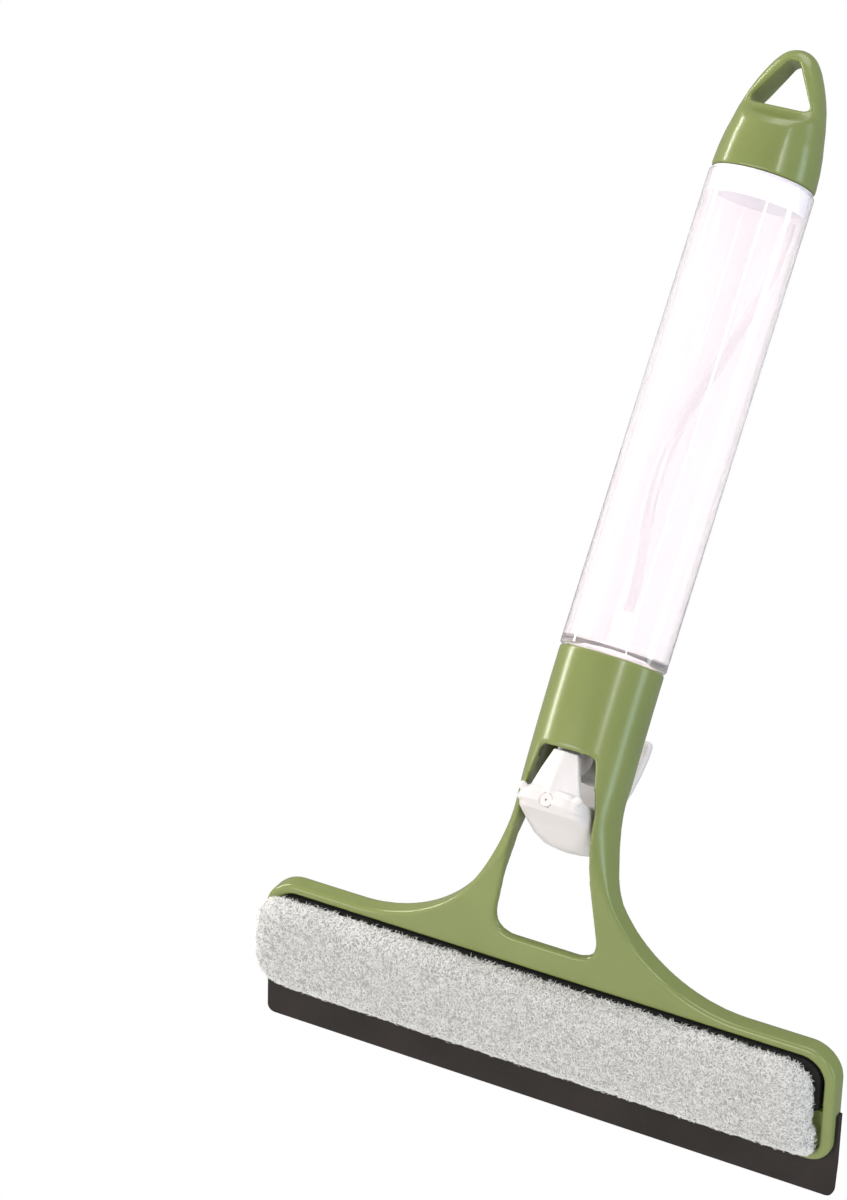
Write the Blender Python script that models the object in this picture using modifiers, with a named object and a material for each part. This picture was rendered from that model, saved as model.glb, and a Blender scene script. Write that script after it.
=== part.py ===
"""Window squeegee with a spray bottle for a handle.

Metres, +Z up, held by its hanging loop: the origin is where a hook bears on the top of the loop's hole.
The handle's axis is Z, the crossbar runs along X, and the pad and the nozzle face -Y.
"""

import math

import bmesh
import bpy
import numpy as np
from mathutils import Matrix, Vector

# ---- driving dimensions -------------------------------------------------------------------------------
GAP = 0.0003                  # between pieces that touch

TUBE_RADIUS = 0.0200
TUBE_WALL = 0.0018
TUBE_LENGTH = 0.1813
TUBE_SHOULDER = 0.0031        # how much smaller the end inside the collar is
TUBE_NECK_LENGTH = 0.0120

COLLAR_STEP = 0.0005          # the collar and the cap stand this far inside the tube's outside
SOCKET_CLEARANCE = 0.0004     # collar bore over the tube's neck
COLLAR_WALL = 0.0033

CAP_HEIGHT = 0.0502
CAP_PLUG_LENGTH = 0.0085
CAP_PLUG_CLEARANCE = 0.0003
CAP_WALL = 0.0018
CAP_BORE = 0.0150             # how deep the cap is hollow above its foot
SEAL_THICKNESS = 0.0008
SLEEVE_WALL = 0.0014          # the seal is a cup round the plug, open above
SEAL_INSET = 0.0010
LOOP_DEPTH = 0.0164           # front to back of the loop at the foot of its hole
HOLE_HALF_WIDTH = 0.0112
HOLE_FOOT = 0.0265            # above the cap's foot
HOLE_TOP = 0.0450
HOLE_TOP_RADIUS = 0.0036
HOLE_FOOT_RADIUS = 0.0030

HEAD_TILT = math.radians(35.6)  # the head's plane leans back from the handle's axis
HEAD_Y = 0.0631               # the blade's wiping edge, from the collar's rim
HEAD_Z = -0.1601
BAR_HALF_LENGTH = 0.1172
BAR_TOP = 0.0619              # all the bar's heights are along the head's plane, from the wiping edge
BAR_FRONT = 0.0043            # and depths are in front of the blade's face
BAR_BACK = -0.0055
BAR_CORNER = 0.0130
NECK_INSET = 0.00005          # the neck's faces lie this far inside the bar's
BAR_SHOULDER = 0.0330         # under it only the front lip reaches the ends
REAR_LIP_FOOT = 0.0210
FRONT_LIP_FOOT = 0.0156
FRONT_LIP_CORNER = 0.0090
RIM_WIDTH = 0.0044
RIM_TOP_WIDTH = 0.0035
RIM_FOOT_WIDTH = 0.0030
TRAY_CORNER = 0.0095
TRAY_FLOOR = 0.0015           # over the blade's root
TRAY_DEEP_FLOOR = -0.0022     # above it
TRAY_STEP = 0.0360
FLARE_RADIUS = 0.0600         # from the neck's side to the bar's top
NECK_SET_BACK = 0.0029        # how far back the neck has curved by the height below
NECK_SET_BACK_Z = -0.0530
LEG_BACK_TOP = -0.0440        # under it the collar's back is cut away down to the legs' rear edges
LEG_BACK_Y = 0.0078           # the rear edge at its top
LEG_BACK_SLOPE = 0.20         # how far it moves back for each unit down
LEG_BACK_CORNER = 0.0060
LEG_WALL = 0.0029             # the neck is a shell, open behind
FRONT_WALL = 0.0037
SHELL_FOOT = 0.0655           # above the bar's solid top
SHELL_TOP = 0.1140
LEG_INNER = 0.0142
TRIANGLE_FOOT = 0.0694
TRIANGLE_HALF_WIDTH = 0.0205
TRIANGLE_CORNER = 0.0090
LEG_BEND = 0.1180
WINDOW_TOP = -0.0366
WINDOW_TOP_HALF_WIDTH = 0.0107

BLADE_OVERHANG = 0.0008       # past the bar at each end
BLADE_THICKNESS = 0.0030
BLADE_TIP_THICKNESS = 0.0016
BLADE_HEIGHT = 0.0350
BLADE_CORNER = 0.0030

PAD_FRONT = 0.0136
PAD_OVERHANG = 0.0023         # past the bar's left end
PAD_SHORT = 0.0054            # short of its right end
PAD_FOOT = 0.0182
PAD_TOP = 0.0575
FLEECE_THICKNESS = 0.0030
HOOK_THICKNESS = 0.0014
BACKING_THICKNESS = 0.0045

PIVOT_Y = 0.0135
PIVOT_Z = -0.0570
PIN_RADIUS = 0.0015
PIN_CLEARANCE = 0.00015
TRIGGER_HALF_WIDTH = 0.0098
LEVER_TIP_RADIUS = 0.0021
TRIGGER_SIDE_GAP = 0.0012
BACK_WINDOW_TOP = -0.0260
BACK_WINDOW_FOOT = -0.0620
TRIGGER_REACH = 0.0187        # from the pivot to the piston's nose
PISTON_Z = -0.0380
CYLINDER_BORE = 0.0055
CYLINDER_WALL = 0.0018
CYLINDER_BACK = 0.0150
CYLINDER_FLOOR = -0.0050
PISTON_STROKE = 0.0058
PISTON_LENGTH = 0.0046
SEAL_WIDTH = 0.0015
SEAL_CLEARANCE = 0.0001
ROD_RADIUS = 0.0026
SPRING_WIRE = 0.0007
SPRING_RADIUS = 0.0036
SPRING_TURNS = 6

HOUSING_HALF_WIDTH = 0.0134
HOUSING_WALL = 0.0016
NOZZLE_Z = -0.0560
NOZZLE_RADIUS = 0.0024
NOZZLE_FRONT = -0.0205
SWIRL_RADIUS = 0.0012
DIP_RADIUS = 0.0025
DIP_WALL = 0.0007
INLET_RADIUS = 0.0018
BALL_RADIUS = 0.0022
BALL_TRAVEL = 0.0010
STOPPER_TOP = 0.0012
OUTLET_DEPTH = 0.0060
OUTLET_HALF_WIDTH = 0.0045
VALVE_RADIUS = 0.0023
VALVE_THICKNESS = 0.0010

# ---- places that follow from them, above the collar's rim ---------------------------------------------
TUBE_FOOT = GAP
TUBE_TOP = TUBE_FOOT + TUBE_LENGTH
SEAL_FOOT = TUBE_TOP + GAP
CAP_FOOT = SEAL_FOOT + SEAL_THICKNESS + GAP
HANG_Z = CAP_FOOT + HOLE_TOP
TUBE_BORE = TUBE_RADIUS - TUBE_WALL
TUBE_NECK_RADIUS = TUBE_RADIUS - TUBE_SHOULDER
COLLAR_RADIUS = TUBE_RADIUS - COLLAR_STEP
CAP_RADIUS = COLLAR_RADIUS
BLADE_HALF_LENGTH = BAR_HALF_LENGTH + BLADE_OVERHANG
PAD_LEFT = -BAR_HALF_LENGTH - PAD_OVERHANG
PAD_RIGHT = BAR_HALF_LENGTH - PAD_SHORT
NECK_BORE = TUBE_NECK_RADIUS - TUBE_WALL
SOCKET_RADIUS = TUBE_NECK_RADIUS + SOCKET_CLEARANCE

# ---- scene --------------------------------------------------------------------------------------------
for old in list(bpy.data.objects):
    bpy.data.objects.remove(old, do_unlink=True)

parts = bpy.data.collections.new("window_squeegee")
cutters = bpy.data.collections.new("cutters")
for group in (parts, cutters):
    bpy.context.scene.collection.children.link(group)

hang_point = bpy.data.objects.new("hang_point", None)
hang_point.location = (0, 0, -HANG_Z)
parts.objects.link(hang_point)

head_plane = bpy.data.objects.new("head_plane", None)
head_plane.parent = hang_point
head_plane.location = (0, HEAD_Y, HEAD_Z)
head_plane.rotation_euler = (HEAD_TILT, 0, 0)
parts.objects.link(head_plane)


def material(name, colour, roughness, metallic=0.0, transmission=0.0):
    made = bpy.data.materials.new(name)
    made.use_nodes = True
    shader = made.node_tree.nodes["Principled BSDF"]
    shader.inputs["Base Color"].default_value = (*colour, 1)
    shader.inputs["Roughness"].default_value = roughness
    shader.inputs["Metallic"].default_value = metallic
    shader.inputs["Transmission Weight"].default_value = transmission
    return made


GREEN = material("sage_plastic", (0.31, 0.38, 0.16), 0.25)
CLEAR = material("clear_plastic", (0.96, 0.97, 0.97), 0.05, transmission=0.95)
WHITE = material("white_plastic", (0.84, 0.83, 0.82), 0.35)
MILKY = material("milky_plastic", (0.80, 0.82, 0.82), 0.30, transmission=0.5)
RUBBER = material("black_rubber", (0.035, 0.032, 0.030), 0.55)
SILICONE = material("silicone", (0.70, 0.74, 0.74), 0.45)
STEEL = material("spring_steel", (0.60, 0.60, 0.62), 0.25, metallic=1.0)
HOOK = material("hook_tape", (0.02, 0.02, 0.02), 0.90)
FLEECE = material("white_fleece", (0.78, 0.78, 0.76), 0.95)
FOAM = material("grey_foam", (0.55, 0.55, 0.55), 0.90)


# ---- tools --------------------------------------------------------------------------------------------
def placed(name, mesh, finish, parent=hang_point, cutter=False):
    """Links a mesh as a named part, or as a hidden cutter, under one of the two empties."""
    made = bpy.data.objects.new(name, mesh)
    made.parent = parent
    (cutters if cutter else parts).objects.link(made)
    made.hide_render = cutter
    if cutter:
        made.display_type = "WIRE"
    else:
        mesh.materials.append(finish)
        mesh.shade_smooth()
        mesh.set_sharp_from_angle(angle=math.radians(35))
    return made


def loft(name, rings):
    """Closed body through rings of equal point counts, with flat ends."""
    work = bmesh.new()
    loops = [[work.verts.new(point) for point in ring] for ring in rings]
    count = len(loops[0])
    for low, high in zip(loops, loops[1:]):
        for i in range(count):
            j = (i + 1) % count
            work.faces.new((low[i], low[j], high[j], high[i]))
    work.faces.new(loops[0])
    work.faces.new(loops[-1])
    bmesh.ops.recalc_face_normals(work, faces=work.faces)
    mesh = bpy.data.meshes.new(name)
    work.to_mesh(mesh)
    work.free()
    return mesh


def plate(name, outline, low, high, axis="Y"):
    """Flat outline of (x, z) points between two depths along Y, or (y, z) points between two along X."""
    curve = bpy.data.curves.new(name, "CURVE")
    curve.dimensions = "2D"
    curve.fill_mode = "BOTH"
    curve.extrude = (high - low) / 2
    spline = curve.splines.new("POLY")
    spline.points.add(len(outline) - 1)
    for point, (across, up) in zip(spline.points, outline):
        point.co = (across, up, 0, 1)
    spline.use_cyclic_u = True
    flat = bpy.data.objects.new(name, curve)
    parts.objects.link(flat)
    mesh = bpy.data.meshes.new_from_object(flat.evaluated_get(bpy.context.evaluated_depsgraph_get()))
    bpy.data.objects.remove(flat)
    middle = (low + high) / 2
    if axis == "Y":
        turn = Matrix(((1, 0, 0, 0), (0, 0, -1, middle), (0, 1, 0, 0), (0, 0, 0, 1)))
    else:
        turn = Matrix(((0, 0, 1, middle), (1, 0, 0, 0), (0, 1, 0, 0), (0, 0, 0, 1)))
    mesh.transform(turn)
    work = bmesh.new()
    work.from_mesh(mesh)
    bmesh.ops.remove_doubles(work, verts=work.verts, dist=1e-6)
    bmesh.ops.recalc_face_normals(work, faces=work.faces)
    work.to_mesh(mesh)
    work.free()
    return mesh


def box(name, low, high):
    mesh = bpy.data.meshes.new(name)
    work = bmesh.new()
    size = Vector(high) - Vector(low)
    middle = (Vector(high) + Vector(low)) / 2
    bmesh.ops.create_cube(work, size=1, matrix=Matrix.Translation(middle) @ Matrix.Diagonal((*size, 1)))
    work.to_mesh(mesh)
    work.free()
    return mesh


def cylinder(name, radius, start, end, sides=32):
    """Cylinder between two points."""
    mesh = bpy.data.meshes.new(name)
    work = bmesh.new()
    along = Vector(end) - Vector(start)
    turn = along.to_track_quat("Z", "Y").to_matrix().to_4x4()
    place = Matrix.Translation((Vector(start) + Vector(end)) / 2) @ turn
    bmesh.ops.create_cone(
        work, cap_ends=True, segments=sides, radius1=radius, radius2=radius, depth=along.length, matrix=place
    )
    work.to_mesh(mesh)
    work.free()
    return mesh


def turned(name, profile, finish, steps=32, cutter=False):
    """Closed (radius, height) profile turned about Z, listed down its outer side and up its inner one."""
    mesh = bpy.data.meshes.new(name)
    work = bmesh.new()
    corners = [work.verts.new((radius, 0, height)) for radius, height in profile]
    for i in range(len(corners) if profile[0][0] > 0 else len(corners) - 1):
        work.edges.new((corners[i], corners[(i + 1) % len(corners)]))
    work.to_mesh(mesh)
    work.free()
    made = placed(name, mesh, finish, cutter=cutter)
    screw = made.modifiers.new("turn", "SCREW")
    screw.steps = screw.render_steps = steps
    screw.use_merge_vertices = True
    screw.merge_threshold = 0.00001
    screw.use_smooth_shade = True
    return made


def combine(target, other, operation):
    change = target.modifiers.new(f"{operation.lower()}_{other.name}", "BOOLEAN")
    change.object = other
    change.operation = operation


def cut(target, mesh, parent=hang_point):
    combine(target, placed(mesh.name, mesh, None, parent, cutter=True), "DIFFERENCE")


def add(target, mesh, parent=hang_point):
    combine(target, placed(mesh.name, mesh, None, parent, cutter=True), "UNION")


def bevel(target, width, segments=2, angle=40):
    edge = target.modifiers.new("edge", "BEVEL")
    edge.width = width
    edge.segments = segments
    edge.limit_method = "ANGLE"
    edge.angle_limit = math.radians(angle)
    edge.use_clamp_overlap = True


def arc(centre, radius, start, end, steps):
    """Points of an arc in a plane, from one angle in degrees to another."""
    return [
        (centre[0] + radius * math.cos(angle), centre[1] + radius * math.sin(angle))
        for angle in np.radians(np.linspace(start, end, steps + 1))
    ]


def rounded(half_width, low, high, low_radius, high_radius, steps=6):
    """Upright outline, symmetric about its middle line, with round corners."""
    right = [(half_width, low)] if low_radius == 0 else arc(
        (half_width - low_radius, low + low_radius), low_radius, -90, 0, steps
    )
    right += arc((half_width - high_radius, high - high_radius), high_radius, 0, 90, steps)
    return right + [(-across, up) for across, up in reversed(right)]


def oval(half_width, half_depth, middle_y, height, corner, steps=8, lean=0.0):
    """Ring of a rounded rectangle: corner 1 is an ellipse, less is squarer. It leans with Y."""
    across, deep = half_width * corner, half_depth * corner
    deep = across = min(across, deep) if corner < 1 else None
    ring = []
    for quarter, (side, face) in enumerate(((1, 1), (-1, 1), (-1, -1), (1, -1))):
        for step in range(steps + 1):
            angle = math.radians(90 * (quarter + step / steps))
            if corner < 1:
                x = side * (half_width - across) + across * math.cos(angle)
                y = face * (half_depth - deep) + deep * math.sin(angle)
            elif step == steps:
                continue
            else:
                x, y = half_width * math.cos(angle), half_depth * math.sin(angle)
            ring.append((x, middle_y + y, height + lean * y))
    return ring


# ---- the moulded frame --------------------------------------------------------------------------------
SIN, COS, SLOPE = math.sin(HEAD_TILT), math.cos(HEAD_TILT), math.tan(HEAD_TILT)


def smooth_max(first, second, softness):
    half = (first - second) / 2
    return (first + second) / 2 + math.sqrt(half * half + softness * softness)


def plane_y(z, depth):
    """Y of the head-parallel plane at this depth, at height z."""
    return HEAD_Y - depth * COS - SLOPE * (z - HEAD_Z + depth * SIN)


def plane_z(height, depth):
    return HEAD_Z + height * COS - depth * SIN


def set_back(z):
    """How far the neck's middle line lies behind the handle's axis."""
    return NECK_SET_BACK * min(max(z / NECK_SET_BACK_Z, 0), 1.3) ** 1.6


def head_height(y, z):
    return COS * (z - HEAD_Z) - SIN * (y - HEAD_Y)


def flare_width(height):
    """Half width of the neck: straight, then a quarter circle out to the bar's top."""
    rise = max(BAR_TOP + FLARE_RADIUS - height, 0)
    return COLLAR_RADIUS + FLARE_RADIUS - math.sqrt(max(FLARE_RADIUS**2 - rise**2, 0))


def neck_rings():
    """Rings from the collar's rim down into the bar: round at first, then flat and leaning with the head."""
    rings = []
    bend = (COLLAR_RADIUS + HEAD_Y - BAR_FRONT * COS) / SIN
    heights = [bend + 0.046, bend + 0.020, bend + 0.007, bend, bend - 0.007, bend - 0.015, bend - 0.022]
    for angle in (8, 16, 24, 32, 40, 48, 56, 64, 72, 79, 85):
        heights.append(BAR_TOP + FLARE_RADIUS * (1 - math.sin(math.radians(angle))))
    heights = sorted(set(heights), reverse=True) + [BAR_TOP - 0.003]
    top = plane_z(bend, BAR_FRONT)
    for height in heights:
        front_z = min(plane_z(height, BAR_FRONT), 0.0)
        set_off = set_back(front_z)
        front_y = smooth_max(set_off - COLLAR_RADIUS, plane_y(front_z, BAR_FRONT - NECK_INSET), 0.0008)
        share = min(max((bend - height) / (bend - BAR_TOP - 0.022), 0), 1)
        lean = SLOPE * share * share * (3 - 2 * share)
        back_y = COLLAR_RADIUS
        for _ in range(6):
            back_z = front_z + lean * (back_y - front_y)
            back_y = smooth_max(set_off + COLLAR_RADIUS, plane_y(back_z, BAR_BACK + NECK_INSET), 0.0008)
        square = min(max((bend - height) / (bend - BAR_TOP - 0.033), 0), 1)
        corner = 0.98 - 0.78 * square * square * (3 - 2 * square)
        half_depth = (back_y - front_y) / 2
        ring = oval(COLLAR_RADIUS, half_depth, (front_y + back_y) / 2, 0, corner)
        ring_foot = front_z - lean * front_y
        spread = []
        for x, y, _ in ring:
            z = ring_foot + lean * y
            wide = flare_width(max(head_height(y, z), BAR_TOP)) / COLLAR_RADIUS
            spread.append((x * wide, y, z))
        rings.append(spread)
    first = [(x, y, 0.0) for x, y, _ in rings[0]]
    return [first] + [ring for ring in rings if max(point[2] for point in ring) < -0.002]


OVERCUT = 0.005
section = [
    (-BAR_FRONT, FRONT_LIP_FOOT), (-BAR_FRONT, BAR_TOP), (-BAR_BACK, BAR_TOP), (-BAR_BACK, REAR_LIP_FOOT),
    (BLADE_THICKNESS + GAP, REAR_LIP_FOOT), (BLADE_THICKNESS + GAP, BLADE_HEIGHT + GAP),
    (-GAP, BLADE_HEIGHT + GAP), (-GAP, FRONT_LIP_FOOT),
]
bar_mesh = plate("bar", section, -BAR_HALF_LENGTH, BAR_HALF_LENGTH, "X")
bar = placed("bar", bar_mesh, None, head_plane, cutter=True)
bar_side = rounded(BAR_HALF_LENGTH, FRONT_LIP_FOOT, BAR_TOP, FRONT_LIP_CORNER, BAR_CORNER)
bar_outline = plate("bar_outline", bar_side, -BAR_FRONT - OVERCUT, -BAR_BACK + OVERCUT)
combine(bar, placed("bar_outline", bar_outline, None, head_plane, cutter=True), "INTERSECT")
for side in (-1, 1):
    ends = sorted((side * (BAR_HALF_LENGTH - RIM_WIDTH), side * (BAR_HALF_LENGTH + OVERCUT)))
    notch = box(
        f"end_notch_{'left' if side < 0 else 'right'}",
        (ends[0], BLADE_THICKNESS / 2, 0), (ends[1], -BAR_BACK + OVERCUT, BAR_SHOULDER),
    )
    cut(bar, notch, head_plane)

frame = placed("frame", loft("frame", neck_rings()), GREEN)
combine(frame, bar, "UNION")

# the pad's tray, deep above the blade's root and shallow in front of it
tray_half = BAR_HALF_LENGTH - RIM_WIDTH
tray_top = BAR_TOP - RIM_TOP_WIDTH
tray_foot = FRONT_LIP_FOOT + RIM_FOOT_WIDTH
deep = rounded(tray_half, TRAY_STEP, tray_top, 0.001, TRAY_CORNER)
cut(frame, plate("tray_deep", deep, -BAR_FRONT - OVERCUT, -TRAY_DEEP_FLOOR), head_plane)
shallow = rounded(tray_half, tray_foot, TRAY_STEP + 0.008, FRONT_LIP_CORNER - RIM_FOOT_WIDTH, 0.001)
cut(frame, plate("tray_shallow", shallow, -BAR_FRONT - OVERCUT, -TRAY_FLOOR), head_plane)

def triangle_outline():
    """The opening between the legs: parallel sides above, spreading to a round-cornered foot."""
    centre = (TRIANGLE_HALF_WIDTH - TRIANGLE_CORNER, TRIANGLE_FOOT + TRIANGLE_CORNER)
    right = arc(centre, TRIANGLE_CORNER, -90, 12, 7)
    right.append((LEG_INNER, LEG_BEND))
    right.append((LEG_INNER, OPENING_TOP))
    return right + [(-across, up) for across, up in reversed(right)]


def legs_back_outline():
    """Side view of what is cut away behind the legs: down their rear edges, then along the bar's back."""
    middle = (LEG_BACK_Y + LEG_BACK_CORNER, LEG_BACK_TOP - LEG_BACK_CORNER)
    points = [(0.060, LEG_BACK_TOP)] + arc(middle, LEG_BACK_CORNER, 90, 180, 5)
    depth = BAR_BACK - NECK_INSET
    steep = math.tan(HEAD_TILT)
    # where the rear edge meets the plane of the bar's back
    plane_at_zero = plane_y(0, depth)
    line_at_zero = LEG_BACK_Y + LEG_BACK_SLOPE * middle[1]
    meet = (plane_at_zero - line_at_zero) / (steep - LEG_BACK_SLOPE)
    points.append((plane_at_zero - steep * meet, meet))
    foot = meet - 0.060
    return points + [(plane_y(foot, depth), foot), (0.110, foot), (0.110, LEG_BACK_TOP)]


def shell_outline():
    """Front view of the hollow behind the neck: the flare's sides moved in by the wall."""
    centre = (COLLAR_RADIUS + FLARE_RADIUS, BAR_TOP + FLARE_RADIUS)
    lowest = math.degrees(math.asin((centre[1] - SHELL_FOOT) / (FLARE_RADIUS + LEG_WALL)))
    highest = math.degrees(math.asin((centre[1] - SHELL_TOP) / (FLARE_RADIUS + LEG_WALL)))
    right = arc(centre, FLARE_RADIUS + LEG_WALL, 180 + lowest, 180 + highest, 14)
    return right + [(-across, up) for across, up in reversed(right)]


cut(frame, plate("legs_back", legs_back_outline(), -0.130, 0.130, "X"))
cut(frame, plate("shell_inside", shell_outline(), -BAR_FRONT + FRONT_WALL, 0.070), head_plane)

OPENING_TOP = (COLLAR_RADIUS + HEAD_Y - BAR_FRONT * COS) / SIN - 0.002
cut(frame, plate("leg_opening", triangle_outline(), -0.030, 0.070), head_plane)

WINDOW_CORNER = 0.0022
WINDOW_FOOT = -0.0560
LEG_INSIDE_FOOT = -0.0665
window_side = (LEG_INNER - WINDOW_TOP_HALF_WIDTH) / (WINDOW_TOP - WINDOW_FOOT)
window = [(LEG_INNER, WINDOW_FOOT)]
window += arc(
    (WINDOW_TOP_HALF_WIDTH - WINDOW_CORNER, WINDOW_TOP - WINDOW_CORNER), WINDOW_CORNER,
    math.degrees(math.atan(window_side)), 90, 4,
)
window += [(-across, up) for across, up in reversed(window)]
cut(frame, plate("front_window", window, -0.030, 0.0))

PUMP_SEAT = -TUBE_NECK_LENGTH - 0.0028
CAVITY_TOP = PUMP_SEAT - 0.0020
cut(frame, cylinder("tube_socket", SOCKET_RADIUS, (0, 0, PUMP_SEAT), (0, 0, OVERCUT), 40))
collar_inside = ((0, 0, WINDOW_TOP - 0.004), (0, 0, PUMP_SEAT + OVERCUT))
cut(frame, cylinder("collar_inside", COLLAR_RADIUS - COLLAR_WALL, *collar_inside, 40))
leg_bore = COLLAR_RADIUS - LEG_WALL
leg_bore_y = set_back(WINDOW_TOP - 0.010)
leg_bore_ends = ((0, leg_bore_y, LEG_INSIDE_FOOT), (0, leg_bore_y, WINDOW_TOP + 0.006))
cut(frame, cylinder("leg_inside", leg_bore, *leg_bore_ends, 40))
back_half = TRIGGER_HALF_WIDTH + TRIGGER_SIDE_GAP
cut(frame, box("back_window", (-back_half, 0.0090, BACK_WINDOW_FOOT), (back_half, 0.0300, BACK_WINDOW_TOP)))

# ---- the bottle ---------------------------------------------------------------------------------------
CHAMFER = 0.0006
neck_foot = TUBE_FOOT - TUBE_NECK_LENGTH
turned(
    "bottle_tube",
    [
        (TUBE_RADIUS - CHAMFER, TUBE_TOP), (TUBE_RADIUS, TUBE_TOP - CHAMFER),
        (TUBE_RADIUS, TUBE_FOOT + CHAMFER), (TUBE_RADIUS - CHAMFER, TUBE_FOOT),
        (TUBE_NECK_RADIUS, TUBE_FOOT), (TUBE_NECK_RADIUS, neck_foot), (NECK_BORE, neck_foot),
        (NECK_BORE, TUBE_FOOT + TUBE_WALL), (TUBE_BORE, TUBE_FOOT + TUBE_WALL + 0.002),
        (TUBE_BORE, TUBE_TOP),
    ],
    CLEAR, steps=48,
)

# ---- hanging cap --------------------------------------------------------------------------------------
# share of the cap's height, half width over the cap's radius, half depth over the cap's radius
CAP_SHAPE = (
    (0.000, 1.000, 1.000), (0.016, 1.010, 1.010), (0.150, 0.990, 0.990), (0.270, 0.950, 0.945),
    (0.355, 0.905, 0.885), (0.410, 0.880, 0.760), (0.460, 0.862, 0.560), (0.500, 0.845, 0.450),
    (0.600, 0.790, 0.415), (0.700, 0.705, 0.385), (0.800, 0.590, 0.355), (0.880, 0.470, 0.325),
    (0.940, 0.345, 0.285), (0.980, 0.215, 0.225), (1.000, 0.100, 0.130),
)
depth_scale = LOOP_DEPTH / 2 / (0.434 * CAP_RADIUS)
cap_rings = [
    oval(
        CAP_RADIUS * wide, CAP_RADIUS * (deep if share < 0.45 else deep * depth_scale), 0,
        CAP_FOOT + CAP_HEIGHT * share, 1,
    )
    for share, wide, deep in CAP_SHAPE
]
cap = placed("hanging_cap", loft("hanging_cap", cap_rings), GREEN)
sleeve_radius = TUBE_BORE - CAP_PLUG_CLEARANCE
plug_radius = sleeve_radius - SLEEVE_WALL - GAP
plug_foot = CAP_FOOT - CAP_PLUG_LENGTH
cup_foot = plug_foot - GAP - SLEEVE_WALL
add(cap, cylinder("cap_plug", plug_radius, (0, 0, plug_foot), (0, 0, CAP_FOOT + CAP_WALL), 48))
hole_centre = (0, CAP_FOOT + HOLE_TOP - HOLE_TOP_RADIUS)
foot_centre = (HOLE_HALF_WIDTH - HOLE_FOOT_RADIUS, CAP_FOOT + HOLE_FOOT + HOLE_FOOT_RADIUS)
side_angle = math.degrees(math.atan2(foot_centre[0], hole_centre[1] - foot_centre[1]))
hole = arc(foot_centre, HOLE_FOOT_RADIUS, -90, side_angle, 6)
hole += arc(hole_centre, HOLE_TOP_RADIUS, side_angle, 90, 5)
hole += [(-across, up) for across, up in reversed(hole[:-1])]
cut(cap, plate("loop_hole", hole, -0.030, 0.030))
cap_bore = turned(
    "cap_bore",
    [
        (0, CAP_FOOT + CAP_BORE), (plug_radius - 0.0070, CAP_FOOT + CAP_BORE - 0.001),
        (plug_radius - CAP_WALL, CAP_FOOT + 0.006),
        (plug_radius - CAP_WALL, plug_foot - OVERCUT), (0, plug_foot - OVERCUT),
    ],
    None, steps=40, cutter=True,
)
combine(cap, cap_bore, "DIFFERENCE")
turned(
    "cap_seal",
    [
        (TUBE_RADIUS - SEAL_INSET, SEAL_FOOT + SEAL_THICKNESS), (TUBE_RADIUS - SEAL_INSET, SEAL_FOOT),
        (sleeve_radius, SEAL_FOOT), (sleeve_radius, cup_foot), (0, cup_foot),
        (0, cup_foot + SLEEVE_WALL), (plug_radius + GAP, cup_foot + SLEEVE_WALL),
        (plug_radius + GAP, SEAL_FOOT + SEAL_THICKNESS),
    ],
    SILICONE, steps=40,
)

# ---- blade --------------------------------------------------------------------------------------------
blade_side = rounded(BLADE_HALF_LENGTH, 0, BLADE_HEIGHT, BLADE_CORNER, 0.0005, 4)
blade = placed("rubber_blade", plate("rubber_blade", blade_side, 0, BLADE_THICKNESS), RUBBER, head_plane)
taper = [(BLADE_TIP_THICKNESS, -OVERCUT), (BLADE_THICKNESS + OVERCUT, -OVERCUT),
         (BLADE_THICKNESS + OVERCUT, BLADE_HEIGHT), (BLADE_THICKNESS, FRONT_LIP_FOOT - 0.002),
         (BLADE_TIP_THICKNESS, 0)]
taper_end = BLADE_HALF_LENGTH + OVERCUT
cut(blade, plate("blade_taper", taper, -taper_end, taper_end, "X"), head_plane)

# ---- cleaning pad -------------------------------------------------------------------------------------
strip_half = tray_half - 0.0015
strip_foot = TRAY_STEP + 0.0012
strip_front = -TRAY_DEEP_FLOOR - GAP - HOOK_THICKNESS
hook = rounded(strip_half, strip_foot, tray_top - 0.001, 0.002, TRAY_CORNER - 0.002)
placed("hook_strip", plate("hook_strip", hook, strip_front, -TRAY_DEEP_FLOOR - GAP), HOOK, head_plane)
backing_back = strip_front - GAP
backing_front = backing_back - BACKING_THICKNESS
placed("pad_backing", plate("pad_backing", hook, backing_front, backing_back), HOOK, head_plane)

fleece_back = -BAR_FRONT - GAP
core_front = -PAD_FRONT + FLEECE_THICKNESS
core = box(
    "pad_core",
    (PAD_LEFT + FLEECE_THICKNESS, core_front, PAD_FOOT + FLEECE_THICKNESS),
    (PAD_RIGHT - FLEECE_THICKNESS, fleece_back, PAD_TOP - FLEECE_THICKNESS),
)
foam = placed("pad_core", core, FOAM, head_plane)
bevel(foam, 0.002)
fleece = placed(
    "pad_fleece",
    box("pad_fleece", (PAD_LEFT, -PAD_FRONT, PAD_FOOT), (PAD_RIGHT, fleece_back, PAD_TOP)),
    FLEECE, head_plane,
)
bevel(fleece, 0.0045, 3)
cut(
    fleece,
    box(
        "fleece_inside",
        (PAD_LEFT + FLEECE_THICKNESS - GAP, core_front - GAP, PAD_FOOT + FLEECE_THICKNESS - GAP),
        (PAD_RIGHT - FLEECE_THICKNESS + GAP, OVERCUT, PAD_TOP - FLEECE_THICKNESS + GAP),
    ),
    head_plane,
)

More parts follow.
